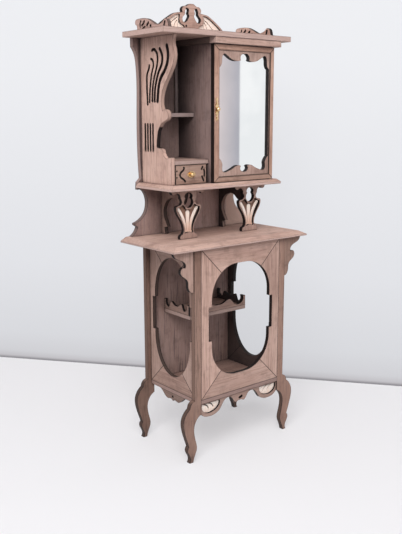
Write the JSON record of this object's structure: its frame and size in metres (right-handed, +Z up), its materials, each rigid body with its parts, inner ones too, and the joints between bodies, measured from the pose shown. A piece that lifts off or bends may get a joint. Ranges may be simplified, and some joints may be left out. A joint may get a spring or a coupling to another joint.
{
  "type": "thimble display case",
  "caption": "Miniature wooden display cabinet on cabriole legs: oval-windowed case with a railed shelf, bevelled top, open niche over a drawer, mirrored door and scrolled crests.",
  "frame": {"origin": "on the floor under the middle of the object's bounding box", "axes": "+Z up; the door and the drawer face -Y; +X to the right of someone facing the door"},
  "size_m": [0.07, 0.0354, 0.178],
  "materials": {
    "case_wood": "bare fine-grained walnut with burnt edges",
    "panel_wood": "bare walnut sheet",
    "inlay_wood": "light maple",
    "brass": "polished",
    "mirror": "silvered"
  },
  "bodies": {
    "case": {"leg_front_left": "case_wood", "leg_front_right": "case_wood", "leg_back_left": "case_wood", "leg_back_right": "case_wood", "bottom_board": "panel_wood", "front_top_rail": "case_wood", "front_bottom_rail": "case_wood", "front_left_stile": "case_wood", "front_right_stile": "case_wood", "left_frame_rails": "case_wood", "left_frame_stiles": "case_wood", "right_frame_rails": "case_wood", "right_frame_stiles": "case_wood", "lower_back_panel": "panel_wood", "front_apron": "case_wood", "apron_inlays": "inlay_wood", "side_apron_left": "case_wood", "side_apron_right": "case_wood", "inner_shelf": "panel_wood", "gallery_front": "case_wood", "gallery_left": "case_wood", "gallery_right": "case_wood", "bracket_left": "case_wood", "bracket_right": "case_wood", "table_top": "case_wood", "baluster_left": "case_wood", "baluster_right": "case_wood", "baluster_inlays": "inlay_wood", "upper_back_panel": "panel_wood", "support_bracket_left": "case_wood", "support_bracket_right": "case_wood", "base_board": "case_wood", "side_panel_left": "case_wood", "side_panel_right": "case_wood", "divider": "case_wood", "open_shelf": "panel_wood", "corner_batten": "case_wood", "drawer_housing_top": "case_wood", "drawer_housing_side": "case_wood", "top_board": "case_wood", "cornice_front": "case_wood", "cornice_returns": "case_wood", "centre_crest": "case_wood", "crest_inlays": "inlay_wood", "side_crest_left": "case_wood", "side_crest_right": "case_wood"},
    "door": {"door_top_rail": "case_wood", "door_bottom_rail": "case_wood", "door_left_stile": "case_wood", "door_right_stile": "case_wood", "door_fret": "case_wood", "door_mirror": "mirror", "door_pull": "brass", "door_hinge_pins": "brass"},
    "drawer": {"drawer_front": "case_wood", "drawer_overlay": "case_wood", "drawer_walls": "case_wood", "drawer_floor": "case_wood", "drawer_knob": "brass"}
  },
  "joints": [
    {"name": "door_hinge", "type": "hinge", "parent": "case", "child": "door", "pos_m": [0.0242, -0.0062, 0.10852], "axis": [0, 0, 1], "range_deg": [0, 100]},
    {"name": "drawer_slide", "type": "slide", "parent": "case", "child": "drawer", "axis": [0, -1, 0], "range_m": [0, 0.012]}
  ]
}
